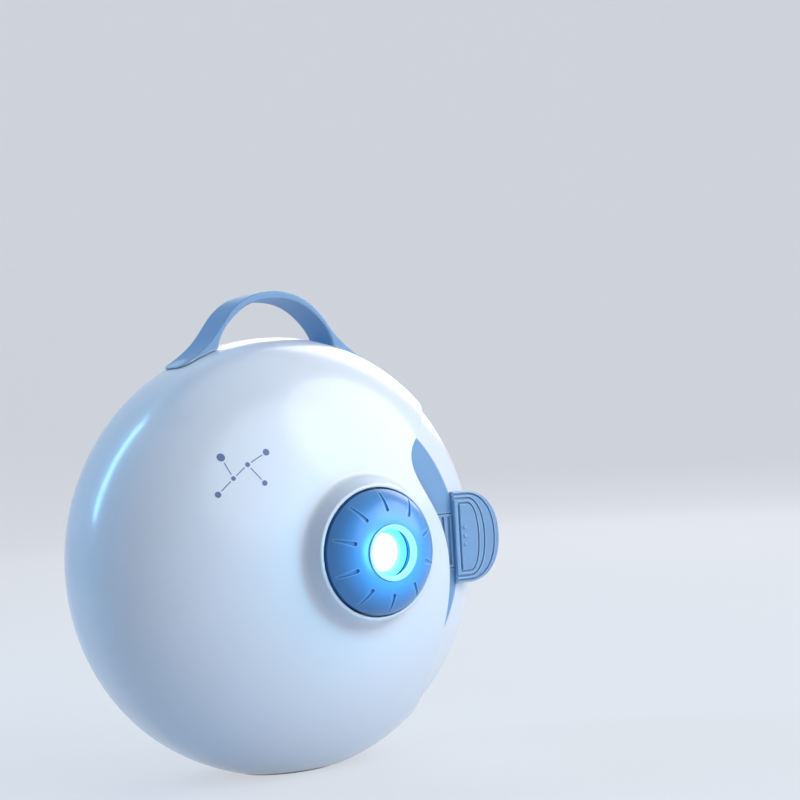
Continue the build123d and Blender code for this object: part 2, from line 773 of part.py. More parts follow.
def slide_grip():
    """Plate with nested tiers, its back cleared from the panel and the band."""
    front = slide_y - grip_proud
    left = grip_left()
    grip = grip_layer((0, 0), left, front, front + grip_thick, 0.5)
    for i, (end, rise) in enumerate(grip_tiers):
        floor = front - i * tier_step + tier_groove
        top = front - (i + 1) * tier_step
        start = left + inner_left if i == len(grip_tiers) - 1 else left
        pocket_start = start - tier_groove if start > left else start - 1
        around = (end - tier_groove, rise - tier_groove)
        grip -= grip_layer(around, pocket_start, top - 1, floor)
        grip += grip_layer((end, rise), start, top, floor + 0.1, tier_round)
    top = front - len(grip_tiers) * tier_step
    for i in (-1, 0, 1):
        bump = Sphere(bump_r)
        grip += on_lens(left - lens_x + 3.45, grip_rise + 0.4 + bump_pitch * i) * Pos(0, top + 0.15, 0) * bump
    grip -= on_body() * rod(band_front_r() + 0.3, panel_y - move_gap, 0)
    return grip - body_form(0.6 - band_recess)


def film_slide():
    back = slide_y + slide_thick
    left = grip_left()
    tongue = on_lens() * rod(slide_half, slide_y, back)
    tongue += on_lens() * block(0, left + 3 - lens_x, slide_y, back, -slide_half, slide_half)
    slot = extrude(SlotOverall(2 * slide_half - 1.6, neck_groove_wide, rotation=90), BIG / 2)
    for i in (0, 1):
        x = left - neck_groove_wide - i * neck_groove_pitch
        tongue -= Pos(x, slide_y + neck_groove_deep, body_z + lens_rise) * Rot(90, 0, 0) * slot
    tongue -= on_lens() * rod(window_r, -BIG, 0)
    tongue -= on_lens() * rod(film_r + 0.1, back - film_thick - film_ring_thick, 0)
    return tongue + slide_grip()


def film_disc():
    back = slide_y + slide_thick - film_ring_thick
    return on_lens() * rod(film_r, back - film_thick, back)


def film_ring():
    back = slide_y + slide_thick
    return on_lens() * tube(film_r, window_r + 0.2, back - film_ring_thick, back)


def condenser_holder():
    inner = condenser_r + 0.05
    holder = tube(inner + holder_wall, inner, gate_back_y, holder_back_y)
    holder += tube(flange_r, inner, gate_back_y, gate_back_y + flange_thick)
    holder += tube(led_screw_z + 2.4, inner, holder_back_y - 3.0, holder_back_y)
    holder += tube(inner, inner - 1.2, gate_back_y, gate_back_y + 1.6)
    for hole in optic_holes(1.15, -BIG, holder_back_y - 3.5):
        holder -= hole
    for z in (led_screw_z, -led_screw_z):
        holder -= Pos(0, 0, z) * rod(0.95, holder_back_y - 2.8, 0)
    return on_lens() * holder


def condenser_lens():
    front = gate_back_y + 1.65
    return on_lens() * lens_solid(condenser_r, front, front + 2.2, 0.0, 3.6)


def led_board():
    board = rod(led_screw_z + 2.4, holder_back_y, holder_back_y + board_thick)
    for z in (led_screw_z, -led_screw_z):
        board -= Pos(0, 0, z) * rod(1.15, -BIG, 0)
    return on_lens() * board


def led_emitter():
    base = block(-2.6, 2.6, holder_back_y - 1.0, holder_back_y, -2.6, 2.6)
    dome = Pos(0, holder_back_y - 1.0, 0) * Sphere(1.9)
    return on_lens() * (base + front_part(dome, holder_back_y - 0.5))


def heat_sink():
    front = holder_back_y + board_thick
    sink = rod(led_screw_z + 2.4, front, front + sink_base)
    for i in range(fin_count):
        x = (i - (fin_count - 1) / 2) * fin_pitch
        sink += block(x - fin_thick / 2, x + fin_thick / 2, front + sink_base - 0.5, sink_back_y,
                      -fin_half, fin_half)
    for z in (led_screw_z, -led_screw_z):
        sink -= Pos(0, 0, z) * rod(1.15, -BIG, 0)
    return on_lens() * sink


def screw(r, head, y_head, length, tall=1.4):
    """Pan-head screw along -Y from the seat under its head."""
    return rod(r, y_head - length, y_head) + rod(head, y_head, y_head + tall)


def optic_screws():
    seat = gate_back_y + flange_thick
    far = optic_screw_r * math.sqrt(0.5)
    one = screw(1.0, 1.9, seat, seat - slide_y + 1.8)
    return [on_lens(x, z) * one for x in (far, -far) for z in (far, -far)]


def gate_screws():
    one = screw(1.0, 1.9, gate_back_y, gate_back_y - slide_y + 4.2)
    return [on_lens(x, z) * one for x in gate_screw_x for z in (gate_screw_z, -gate_screw_z)]


def led_screws():
    seat = holder_back_y + board_thick + sink_base
    one = screw(0.9, 1.7, seat, seat - holder_back_y + 2.5)
    return [on_lens(0, z) * one for z in (led_screw_z, -led_screw_z)]


def board_holes():
    return [(x, z) for x in (board_screw_x, -board_screw_x) for z in (board_screw_top, board_screw_low)]


def main_board():
    z = body_z - board_drop
    board = block(-board_wide / 2, board_wide / 2, board_y, board_y + board_thick,
                  z - board_tall / 2, z + board_tall / 2)
    board = board.fillet(4.0, board.edges().filter_by(Axis.Y))
    for x, dz in board_holes():
        board -= on_body(x, dz) * rod(1.2, 0, BIG)
    return board


def board_screws():
    one = Rot(180, 0, 0) * screw(1.0, 1.9, 0, 5.5, 1.3)
    return [Pos(x, board_y, body_z + z) * one for x, z in board_holes()]


def board_chips():
    face = board_y
    sizes = (((-14, 8), (9, 9, 1.4)), ((10, 12), (5, 4, 1.3)), ((14, -6), (7.2, 7.2, 3.2)),
             ((-16, -14), (6, 5, 1.5)), ((2, -24), (4, 5, 1.2)))
    return [Pos(x, face - tall / 2, body_z + z) * Box(wide, tall, high)
            for (x, z), (wide, high, tall) in sizes]


def switch_bodies():
    top = board_y + board_thick + switch_tall
    half = switch_side / 2
    one = block(-half, half, board_y + board_thick, top, -half, half)
    one -= rod(plunger_r + 0.2, top - 1.6, top + 1)
    return [on_body(0, z) * one for z in (power_z, mode_z)]


def plunger():
    top = board_y + board_thick + switch_tall
    return rod(plunger_r, top - 0.6, top + plunger_tall)


def button(r, z):
    """Push button with a crowned face, a flange inside the wall and a stem."""
    face = surface_y(0, z) + button_proud
    inner = surface_y(0, abs(z) + r + button_flange, -wall)
    stem_end = board_y + board_thick + switch_tall + plunger_tall
    cap = rod(r, inner - 1.6, face)
    cap = cap.fillet(0.6, cap.edges().group_by(Axis.Y)[-1])
    cap += rod(r + button_flange, inner - 1.6, inner - 0.35)
    cap += rod(2.2, stem_end, inner - 1.0)
    return on_body(0, z) * cap


def light_pipe():
    end = surface_y(0, pipe_z) - 0.1
    return on_body(0, pipe_z) * (rod(pipe_r, board_y + board_thick + 1.0, end)
                                 + rod(pipe_r + 1.0, board_y + board_thick + 1.0, board_y + board_thick + 3.0))


def indicator_led():
    top = board_y + board_thick
    return on_body(0, pipe_z) * block(-0.9, 0.9, top, top + 0.8, -0.6, 0.6)


def usb_form(grow, y0, y1):
    half = usb_tall / 2 + grow
    outline = SlotOverall(usb_wide + 2 * grow, 2 * half)
    return Pos(0, y1, 0) * Rot(90, 0, 0) * extrude(outline, y1 - y0)


def usb_socket():
    start = board_y + board_thick
    end = surface_y(0, usb_z) - 1.0
    socket = usb_form(0, start, end) - usb_form(-0.35, start + 1.5, end + 1)
    tab = block(-3.3, 3.3, start + 1.0, end - 0.8, -0.35, 0.35)
    return on_body(0, usb_z) * (socket + tab)


def along_x(r, x0, x1, y, z):
    return Pos((x0 + x1) / 2, y, body_z + z) * Rot(0, 90, 0) * Cylinder(r, x1 - x0)


def battery_cell():
    half = battery_long / 2
    cell = along_x(battery_r, -half, half, battery_y, battery_z)
    return cell.fillet(0.8, cell.edges().filter_by(GeomType.CIRCLE))


def battery_cradle():
    half = battery_long / 2 + 2.4
    out_r = battery_r + battery_gap + cradle_wall
    tray = along_x(out_r, -half, half, battery_y, battery_z)
    tray -= along_x(battery_r + battery_gap, -half + 1.4, half - 1.4, battery_y, battery_z)
    z = body_z + battery_z
    tray -= block(-BIG, BIG, battery_y + 3.0, BIG, z - BIG, z + BIG)
    tray -= block(-18, 18, -BIG, BIG, z + 4.0, z + BIG)
    foot = body_z + cradle_foot_z
    for side in (1, -1):
        x = side * cradle_leg_x
        web = x - side * 3.8
        leg = block(web - 1.2, web + 1.2, battery_y - 6, battery_y + 2.9, foot, z - battery_r)
        leg += block(x - 5, x + 5, battery_y - 6, battery_y + 6, foot, foot + 1.8)
        leg -= along_x(battery_r + battery_gap, -half, half, battery_y, battery_z)
        leg -= Pos(x, battery_y, foot) * Cylinder(1.2, 8)
        tray += leg
    return tray


def cradle_screws():
    seat = body_z + cradle_foot_z + 1.8
    one = Rot(90, 0, 0) * screw(1.0, 1.9, 0, 4.6)
    return [Pos(x, battery_y, seat) * one for x in (cradle_leg_x, -cradle_leg_x)]


def battery_contacts():
    near = battery_long / 2 + 0.1
    far = battery_long / 2 + 0.9
    z = body_z + battery_z
    one = block(near, far, battery_y - 4, battery_y + 2.5, z - 5, z + 5)
    return [one, mirror(one, Plane.YZ)]


def shell_screw_set():
    one = screw(screw_r, head_r, head_y, head_y - screw_tip_y, 1.8)
    return [on_body(x, z) * one for x, z in on_screw_circle()]


PARTS = {
    "front_shell": front_shell,
    "rear_shell": rear_shell,
    "side_band": side_band,
    "slot_panel": slot_panel,
    "base_pad": base_pad,
    "handle": handle,
    "handle_screws": handle_screws,
    "focus_knob": focus_knob,
    "lens_bezel": lens_bezel,
    "knob_snap_ring": knob_snap_ring,
    "lens_barrel": lens_barrel,
    "lens_cell": lens_cell,
    "cam_pins": cam_pins,
    "front_lens": front_lens,
    "lens_retainer": lens_retainer,
    "rear_lens": rear_lens,
    "film_gate": film_gate,
    "gate_spring": gate_spring,
    "gate_screws": gate_screws,
    "film_slide": film_slide,
    "film_disc": film_disc,
    "film_ring": film_ring,
    "condenser_holder": condenser_holder,
    "condenser_lens": condenser_lens,
    "optic_screws": optic_screws,
    "led_board": led_board,
    "led_emitter": led_emitter,
    "heat_sink": heat_sink,
    "led_screws": led_screws,
    "main_board": main_board,
    "board_screws": board_screws,
    "board_chips": board_chips,
    "switch_bodies": switch_bodies,
    "power_plunger": lambda: on_body(0, power_z) * plunger(),
    "mode_plunger": lambda: on_body(0, mode_z) * plunger(),
    "power_button": lambda: button(power_r, power_z),
    "mode_button": lambda: button(mode_r, mode_z),
    "light_pipe": light_pipe,
    "indicator_led": indicator_led,
    "usb_socket": usb_socket,
    "battery_cell": battery_cell,
    "battery_cradle": battery_cradle,
    "cradle_screws": cradle_screws,
    "battery_contacts": battery_contacts,
    "shell_screw_set": shell_screw_set,
}

os.makedirs("parts", exist_ok=True)
for name, make in PARTS.items():
    made = make()
    if isinstance(made, list):
        made = Compound(children=[s for item in made for s in item.solids()])
    elif len(made.solids()) == 1:
        made = made.solids()[0]
    export_step(made, f"parts/{name}.step")
    print(name, len(made.solids()))
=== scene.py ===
"""Star night light projector: materials, small prints, stage, lamps and camera round the CAD frame."""

import json
import math

import bmesh
import bpy
from mathutils import Matrix, Vector


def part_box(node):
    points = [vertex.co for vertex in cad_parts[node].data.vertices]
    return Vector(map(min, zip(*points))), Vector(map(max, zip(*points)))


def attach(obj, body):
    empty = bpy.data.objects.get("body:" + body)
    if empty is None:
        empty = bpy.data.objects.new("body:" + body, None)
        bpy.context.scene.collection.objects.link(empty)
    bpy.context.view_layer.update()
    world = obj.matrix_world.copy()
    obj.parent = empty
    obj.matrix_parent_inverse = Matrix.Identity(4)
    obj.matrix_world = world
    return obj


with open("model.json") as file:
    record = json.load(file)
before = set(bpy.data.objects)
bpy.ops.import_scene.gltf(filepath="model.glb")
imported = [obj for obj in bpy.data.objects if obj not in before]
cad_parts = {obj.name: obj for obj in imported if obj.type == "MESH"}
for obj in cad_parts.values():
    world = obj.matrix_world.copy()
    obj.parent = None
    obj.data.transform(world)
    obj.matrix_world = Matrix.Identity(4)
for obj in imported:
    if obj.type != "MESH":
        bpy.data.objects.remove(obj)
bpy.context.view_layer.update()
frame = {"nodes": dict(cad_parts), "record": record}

MM = 0.001
BODY_Z = 0.073            # centre of the round body above the floor
LENS = Vector((0.011, 0.0, 0.0742))
LENS_R = 0.0072
# nodes that get the painted glow of the lens's light
PAINTED_GLOW_NODES = ("lens_retainer", "lens_cell")


# ---------------------------------------------------------------- materials

class Mat:
    """A node material round one Principled shader."""

    def __init__(self, name, color, rough=0.4, **sockets):
        self.name = name
        self.mat = bpy.data.materials.new(name)
        self.mat.use_nodes = True
        self.tree = self.mat.node_tree
        self.bsdf = self.tree.nodes["Principled BSDF"]
        self.set("Base Color", color)
        self.set("Roughness", rough)
        for key, value in sockets.items():
            self.set(key.replace("_", " "), value)
        self.coord = self.tree.nodes.new("ShaderNodeTexCoord").outputs["Object"]

    def set(self, socket, value):
        if isinstance(value, tuple) and len(value) == 3:
            value = (*value, 1.0)
        self.bsdf.inputs[socket].default_value = value

    def drive(self, source, socket):
        self.link(source, self.bsdf.inputs[socket])

    def node(self, kind, **props):
        made = self.tree.nodes.new("ShaderNode" + kind)
        for key, value in props.items():
            setattr(made, key, value)
        return made

    def link(self, source, target):
        self.tree.links.new(source, target)

    def placed(self, scale=(1, 1, 1), location=(0, 0, 0), turn=(0, 0, 0)):
        """Object coordinates, moved, turned and stretched."""
        mapping = self.node("Mapping")
        mapping.inputs["Scale"].default_value = scale
        mapping.inputs["Location"].default_value = location
        mapping.inputs["Rotation"].default_value = turn
        self.link(self.coord, mapping.inputs["Vector"])
        return mapping.outputs["Vector"]

    def noise(self, scale, detail=2.0, rough=0.5, source=None):
        tex = self.node("TexNoise")
        tex.inputs["Scale"].default_value = scale
        tex.inputs["Detail"].default_value = detail
        tex.inputs["Roughness"].default_value = rough
        self.link(source or self.coord, tex.inputs["Vector"])
        return tex.outputs["Fac"]

    def span(self, value, low, high, out_low, out_high):
        """value from low..high mapped to out_low..out_high."""
        made = self.node("MapRange", clamp=True)
        limits = {"From Min": low, "From Max": high, "To Min": out_low, "To Max": out_high}
        for key, number in limits.items():
            made.inputs[key].default_value = number
        self.link(value, made.inputs["Value"])
        return made.outputs["Result"]

    def ramp(self, value, *stops):
        """Colour ramp with (position, colour) stops."""
        made = self.node("ValToRGB")
        elements = made.color_ramp.elements
        while len(elements) < len(stops):
            elements.new(0.5)
        for element, (position, color) in zip(elements, stops):
            element.position = position
            element.color = (*color, 1)
        self.link(value, made.inputs["Fac"])
        return made.outputs["Color"]

    def tint(self, value, low_color, high_color):
        """Base colour that drifts between two near colours."""
        self.drive(self.ramp(value, (0.35, low_color), (0.65, high_color)), "Base Color")

    def gloss_drift(self, value, low_rough, high_rough):
        self.drive(self.span(value, 0.3, 0.7, low_rough, high_rough), "Roughness")

    def bump(self, value, strength, depth, base=None):
        made = self.node("Bump")
        made.inputs["Strength"].default_value = strength
        made.inputs["Distance"].default_value = depth
        self.link(value, made.inputs["Height"])
        if base is not None:
            self.link(base, made.inputs["Normal"])
        self.drive(made.outputs["Normal"], "Normal")
        return made.outputs["Normal"]

    def soft_edges(self, radius):
        """Normals of the surface with its edges rounded over."""
        made = self.node("Bevel", samples=6)
        made.inputs["Radius"].default_value = radius
        return made.outputs["Normal"]

    def paint_edge_highlight(self, light, reach, most=0.75):
        """Base colour painted paler along the outward edges: a painted highlight on the rounded ridges.
        """
        inside = self.node("AmbientOcclusion", inside=True, only_local=True, samples=6)
        inside.inputs["Distance"].default_value = reach
        mix = self.node("MixRGB")
        self.link(self.span(inside.outputs["AO"], 0.45, 0.95, most, 0.0), mix.inputs["Fac"])
        base = self.bsdf.inputs["Base Color"]
        self.link(base.links[0].from_socket, mix.inputs["Color1"])
        mix.inputs["Color2"].default_value = (*light, 1)
        self.link(mix.outputs["Color"], base)

    def from_axis(self, reach):
        """0 on the optical axis, 1 at a radius."""
        placed = self.placed(location=(-LENS.x, 0, -LENS.z))
        flat = self.node("VectorMath", operation="MULTIPLY")
        flat.inputs[1].default_value = (1, 0, 1)
        size = self.node("VectorMath", operation="LENGTH")
        self.link(placed, flat.inputs[0])
        self.link(flat.outputs["Vector"], size.inputs[0])
        return self.span(size.outputs["Value"], 0.0, reach, 0.0, 1.0)


def srgb(r, g, b):
    """Linear colour from 0..255 display values."""
    def linear(c):
        c /= 255
        return c / 12.92 if c <= 0.04045 else ((c + 0.055) / 1.055) ** 2.4
    return (linear(r), linear(g), linear(b))


def shade(color, k):
    return tuple(min(c * k, 1.0) for c in color)


def drifting(name, color, rough, drift, **sockets):
    """Plastic with a slow drift of its colour and uneven gloss."""
    m = Mat(name, color, rough, **sockets)
    m.tint(m.noise(22.0), shade(color, 1 - drift), shade(color, 1 + drift / 2))
    m.gloss_drift(m.noise(160.0, 4.0, 0.6), rough - 0.02, rough + 0.02)
    return m


def moulded(name, color, rough, grain=900.0, strength=0.05, **sockets):
    """Moulded plastic with a fine surface."""
    m = drifting(name, color, rough, 0.02, **sockets)
    m.bump(m.noise(grain, 3.0, 0.6), strength, 0.04 * MM)
    return m


def satin_trim(name, color, rough, highlight_color=None, **sockets):
    """Spark-eroded satin plastic: a fine even grain, with a painted highlight along its edges where a
    highlight colour is given.
    """
    m = drifting(name, color, rough, 0.03, **sockets)
    m.bump(m.noise(3200.0, 3.0, 0.6), 0.2, 0.03 * MM, m.soft_edges(0.25 * MM))
    # painted highlight: the edges are made paler in the base colour
    if highlight_color:
        m.paint_edge_highlight(highlight_color, 0.6 * MM)
    return m


def glossy_shell(name, color):
    """High-gloss white plastic: a polished skin, its edges a little softened."""
    m = Mat(name, color, 0.3, Coat_Weight=0.6, Coat_Roughness=0.14, IOR=1.5)
    m.tint(m.noise(14.0), shade(color, 0.99), shade(color, 1.005))
    m.gloss_drift(m.noise(30.0), 0.29, 0.31)
    for socket in ("Normal", "Coat Normal"):
        m.drive(m.soft_edges(0.35 * MM), socket)
    return m


def metal(name, color, rough, stretch=(1, 1, 1)):
    """Bare metal with drawn or cast marks."""
    m = Mat(name, color, rough, Metallic=1.0)
    marks = m.noise(1500.0, 3.0, 0.6, source=m.placed(scale=stretch))
    m.gloss_drift(marks, rough - 0.07, rough + 0.09)
    m.tint(m.noise(300.0), shade(color, 0.93), shade(color, 1.03))
    m.bump(marks, 0.12, 0.02 * MM)
    return m


def ribbed_rubber(name):
    """Soft foot pad with a woven-looking grip pattern pressed into it."""
    m = Mat(name, srgb(150, 156, 166), 0.75)
    m.tint(m.noise(120.0, 3.0), srgb(142, 148, 158), srgb(156, 162, 172))
    ribs = None
    for turn in (45, -45):
        wave = m.node("TexWave", bands_direction="X", wave_profile="SIN")
        wave.inputs["Scale"].default_value = 260.0
        m.link(m.placed(turn=(0, 0, math.radians(turn))), wave.inputs["Vector"])
        ribs = m.bump(wave.outputs["Fac"], 0.5, 0.3 * MM, ribs)
    return m


def star_film(name):
    """Printed film: small bright stars scattered on deep blue."""
    night = (0.02, 0.05, 0.25)
    m = Mat(name, night, 0.18, Transmission_Weight=0.5)
    cells = m.node("TexVoronoi", feature="F1")
    cells.inputs["Scale"].default_value = 900.0
    m.link(m.coord, cells.inputs["Vector"])
    m.drive(m.ramp(cells.outputs["Distance"], (0.0, (0.95, 0.97, 1.0)), (0.16, (0.75, 0.85, 1.0)),
                   (0.24, night)), "Base Color")
    return m


def lit_lens(name):
    """Clear acrylic lit from behind: white at the axis, cyan further out."""
    m = Mat(name, (0.75, 0.92, 1.0), 0.06, IOR=1.49, Coat_Weight=1.0, Coat_Roughness=0.02)
    out = m.from_axis(LENS_R)
    m.drive(m.ramp(out, (0.0, (1.0, 1.0, 1.0)), (0.5, (0.75, 0.96, 1.0)), (1.0, (0.05, 0.45, 0.85))),
            "Emission Color")
    m.drive(m.span(out, 0.0, 1.0, 5.0, 2.0), "Emission Strength")
    return m


def painted_glow_bore():
    """Pale plastic round the lens with a painted glow: an emission of uneven strength stands in for the
    lens's light falling on it.
    """
    m = moulded("painted_glow_bore", srgb(150, 205, 240), 0.3)
    # painted glow: emission in place of the lens's light on this plastic
    m.set("Emission Color", (0.12, 0.55, 0.95))
    m.drive(m.span(m.noise(200.0), 0.3, 0.7, 0.5, 0.7), "Emission Strength")
    return m


def slot_materials():
    """One material for each material slot of the record."""
    made = (
        glossy_shell("shell_white", srgb(216, 226, 240)),
        glossy_shell("band_white", srgb(218, 227, 240)),
        # the second colour of trim and knob is a painted edge highlight
        satin_trim("trim_blue", srgb(119, 160, 203), 0.48, highlight_color=srgb(188, 212, 232)),
        satin_trim("knob_blue", srgb(68, 136, 200), 0.32, highlight_color=srgb(142, 196, 236),
                   Coat_Weight=0.25, Coat_Roughness=0.18),
        moulded("bezel_blue", srgb(158, 204, 236), 0.2, Coat_Weight=0.6, Coat_Roughness=0.08),
        satin_trim("black_plastic", (0.03, 0.03, 0.034), 0.5),
        satin_trim("chip_black", (0.025, 0.025, 0.028), 0.55),
        moulded("led_yellow", (0.9, 0.82, 0.35), 0.3),
        moulded("board_green", (0.02, 0.16, 0.07), 0.35, grain=1200.0, strength=0.2),
        moulded("board_white", (0.78, 0.78, 0.75), 0.4),
        moulded("cell_wrap", (0.05, 0.18, 0.42), 0.35),
        moulded("pipe_frost", (0.85, 0.9, 0.95), 0.4, Transmission_Weight=0.6, IOR=1.49),
        metal("sink_alu", (0.7, 0.71, 0.73), 0.35, stretch=(1, 0.05, 1)),
        metal("screw_steel", (0.55, 0.56, 0.58), 0.3),
        metal("spring_steel", (0.6, 0.6, 0.6), 0.25, stretch=(0.1, 1, 1)),
        metal("contact_nickel", (0.68, 0.67, 0.63), 0.25),
        ribbed_rubber("pad_grey"),
        star_film("film_print"),
        lit_lens("lens_clear"),
    )
    return {m.name: m for m in made}


def dress_nodes():
    """Give every CAD node the material of its slot."""
    mats, bore = slot_materials(), painted_glow_bore()
    slots = {part["node"]: part["material_slot"] for part in frame["record"]["subparts"]}
    for name, node in frame["nodes"].items():
        m = bore if name in PAINTED_GLOW_NODES else mats[slots[name]]
        node.data.materials.clear()
        node.data.materials.append(m.mat)


# ---------------------------------------------------------------- own pieces

FRONT, BACK = -1, 1       # side of the body that a print is on
PRINT_LIFT = 0.03 * MM    # ink above the CAD surface
PRINT_AT = (-42.5, 22.0)  # lower left corner of the star print in mm, from the body centre
STARS = ((1.5, 1.5, 1.0), (7.0, 6.3, 0.75), (4.2, 13.2, 1.3),
         (12.2, 10.4, 0.8), (19.0, 14.0, 1.1), (17.0, 4.2, 0.9))  # x, z, radius in mm
LINKS = ((0, 1), (1, 2), (1, 3), (3, 4), (3, 5))


def mesh_object(name, bm, m, smooth=True):
    mesh = bpy.data.meshes.new(name)
    bm.to_mesh(mesh)
    bm.free()
    for face in mesh.polygons:
        face.use_smooth = smooth
    mesh.materials.append(m.mat)
    made = bpy.data.objects.new(name, mesh)
    bpy.context.scene.collection.objects.link(made)
    return made


def add_piece(name, bm, m, body, smooth=True):
    piece = mesh_object(name, bm, m, smooth)
    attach(piece, body)


def ink_vert(bm, x, z, node, side):
    """Vertex just outside a CAD node, straight in front of or behind a place."""
    start = Vector((x, side * 0.3, z))
    hit, place, normal, _ = frame["nodes"][node].ray_cast(start, Vector((0, -side, 0)))
    if not hit:
        raise RuntimeError(f"nothing of {node} at {x:.4f}, {z:.4f}")
    return bm.verts.new(place + normal * PRINT_LIFT)


def dot(bm, x, z, r, node, side, sides=20):
    """Round spot of ink laid on a CAD surface, as a fan of thin faces."""
    turns = [2 * math.pi * i / sides for i in range(sides)]
    middle = ink_vert(bm, x, z, node, side)
    ring = [ink_vert(bm, x + r * math.cos(a), z + r * math.sin(a), node, side) for a in turns]
    for a, b in zip(ring, ring[1:] + ring[:1]):
        bm.faces.new((middle, a, b) if side == FRONT else (middle, b, a))


def stroke(bm, a, b, width, node, side, steps=8):
    """Thin straight line of ink from a to b, laid on a CAD surface."""
    a, b = Vector(a), Vector(b)
    along = (b - a).normalized()
    across = Vector((-along.y, along.x)) * width / 2
    for i in range(steps):
        p, q = a.lerp(b, i / steps), a.lerp(b, (i + 1) / steps)
        corners = [p - across, q - across, q + across, p + across]
        verts = [ink_vert(bm, corner.x, corner.y, node, side) for corner in corners]
        bm.faces.new(verts if side == FRONT else verts[::-1])


def star_print(ink):
    """A few linked dots on the front, like a page of a star chart."""
    bm = bmesh.new()
    spots = [((PRINT_AT[0] + x) * MM, BODY_Z + (PRINT_AT[1] + z) * MM, r * MM) for x, z, r in STARS]
    for x, z, r in spots:
        dot(bm, x, z, r, "front_shell", FRONT)
    clear, width = 0.6 * MM, 0.34 * MM
    for i, j in LINKS:
        a, b = Vector(spots[i][:2]), Vector(spots[j][:2])
        step = (b - a).normalized()
        stroke(bm, a + step * (spots[i][2] + clear), b - step * (spots[j][2] + clear), width,
               "front_shell", FRONT)
    add_piece("star_print", bm, ink, "housing")


def centre(node):
    low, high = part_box(node)
    return (Vector(low) + Vector(high)) / 2


def power_icon(ink):
    """Open ring with a bar on the upper button."""
    bm = bmesh.new()
    at = centre("power_button")
    r, width, gap, steps = 2.3 * MM, 0.5 * MM, 38, 36
    bar_low, bar_high = 0.7 * MM, 2.9 * MM
    turns = [math.radians(90 + gap + (360 - 2 * gap) * i / steps) for i in range(steps + 1)]
    ring = [(at.x + r * math.cos(a), at.z + r * math.sin(a)) for a in turns]
    for a, b in zip(ring, ring[1:]):
        stroke(bm, a, b, width, "power_button", BACK, steps=1)
    stroke(bm, (at.x, at.z + bar_low), (at.x, at.z + bar_high), width, "power_button", BACK, steps=2)
    add_piece("power_icon", bm, ink, "power")


def mode_icon(ink):
    """Three dots on the lower button."""
    bm = bmesh.new()
    at = centre("mode_button")
    pitch, r = 1.4 * MM, 0.38 * MM
    for i in (-1, 0, 1):
        dot(bm, at.x + i * pitch, at.z, r, "mode_button", BACK)
    add_piece("mode_icon", bm, ink, "mode")


def solids_of(node):
    """Boxes of the separate solids in a CAD node, as (low, high) corners."""
    bm = bmesh.new()
    bm.from_mesh(frame["nodes"][node].data)
    bmesh.ops.remove_doubles(bm, verts=bm.verts, dist=1e-6)
    boxes, seen = [], set()
    for start in bm.verts:
        if start in seen:
            continue
        seen.add(start)
        todo, island = [start], []
        while todo:
            vert = todo.pop()
            island.append(vert.co.copy())
            for edge in vert.link_edges:
                other = edge.other_vert(vert)
                if other not in seen:
                    seen.add(other)
                    todo.append(other)
        boxes.append((Vector(map(min, zip(*island))), Vector(map(max, zip(*island)))))
    bm.free()
    return boxes


def cross_drives(dark):
    """Cross recess of each shell screw, seen down its hole in the back: a flat cross of dark metal
    painted in place of the recess's shadow.
    """
    bm = bmesh.new()
    arm, half, proud, sunk = 1.35 * MM, 0.32 * MM, 0.02 * MM, 0.015 * MM
    tip = half * 0.7
    outline = [(half, half), (arm, tip), (arm, -tip), (half, -half), (tip, -arm), (-tip, -arm),
               (-half, -half), (-arm, -tip), (-arm, tip), (-half, half), (-tip, arm), (tip, arm)]
    for low, high in solids_of("shell_screw_set"):
        x, z, y = (low.x + high.x) / 2, (low.z + high.z) / 2, high.y + proud
        middle = bm.verts.new((x, y - sunk, z))
        ring = [bm.verts.new((x + dx, y, z + dz)) for dx, dz in outline]
        for a, b in zip(ring, ring[1:] + ring[:1]):
            bm.faces.new((middle, a, b))
    bmesh.ops.recalc_face_normals(bm, faces=bm.faces)
    add_piece("cross_drives", bm, dark, "housing", smooth=False)


def make_pieces():
    star_print(moulded("print_ink", srgb(84, 112, 158), 0.35))
    white = moulded("icon_ink", srgb(222, 230, 240), 0.4)
    power_icon(white)
    mode_icon(white)
    # painted shade: dark metal standing in for the shadow down each screw's cross recess
    cross_drives(metal("drive_painted_shade", (0.10, 0.10, 0.11), 0.5))


# ---------------------------------------------------------------- stage

PAPER_PLAIN = 0.7         # share of the paper that is evened out
WORLD_COLOR, WORLD_STRENGTH = (0.66, 0.80, 1.0), 0.17
LAMPS = (
    # name, azimuth, elevation, metres from the body's centre, shape, size, watts, colour
    ("key", 50, 28, 1.3, "ELLIPSE", (1.2, 1.2), 11.5, (1.0, 0.995, 0.98)),
    ("fill", 12, 24, 1.5, "ELLIPSE", (1.3, 1.3), 6.2, (0.94, 0.97, 1.0)),
    ("rim", -130, 33, 0.75, "RECTANGLE", (0.10, 0.54), 2.5, (0.25, 0.64, 1.0)),
    ("top", 20, 82, 1.2, "RECTANGLE", (1.0, 0.8), 1.6, (0.92, 0.97, 1.0)),
    ("back", 132, 33, 1.4, "ELLIPSE", (1.3, 1.3), 10.0, (1.0, 0.95, 0.89)),
)
SPILL_AHEAD = 0.071       # of the lens, where the glow on the knob starts


def pale_floor():
    """A floor that curves up into a low round wall."""
    bm = bmesh.new()
    bend_r, bend_x, top, steps, bend_steps = 0.9, 1.4, 4.0, 96, 18
    profile = [(0.35, 0.0), (0.7, 0.0), (bend_x, 0.0)]
    for i in range(1, bend_steps + 1):
        a = math.radians(90 * i / bend_steps)
        profile.append((bend_x + bend_r * math.sin(a), bend_r * (1 - math.cos(a))))
    profile.append((bend_x + bend_r, top))
    turns = [2 * math.pi * k / steps for k in range(steps)]
    rings = [[bm.verts.new((r * math.cos(a), r * math.sin(a), z)) for a in turns] for r, z in profile]
    bm.faces.new(rings[0])
    for inner, outer in zip(rings, rings[1:]):
        for k in range(steps):
            j = (k + 1) % steps
            bm.faces.new((inner[k], outer[k], outer[j], inner[j]))
    mesh_object("studio_floor", bm, studio_paper())


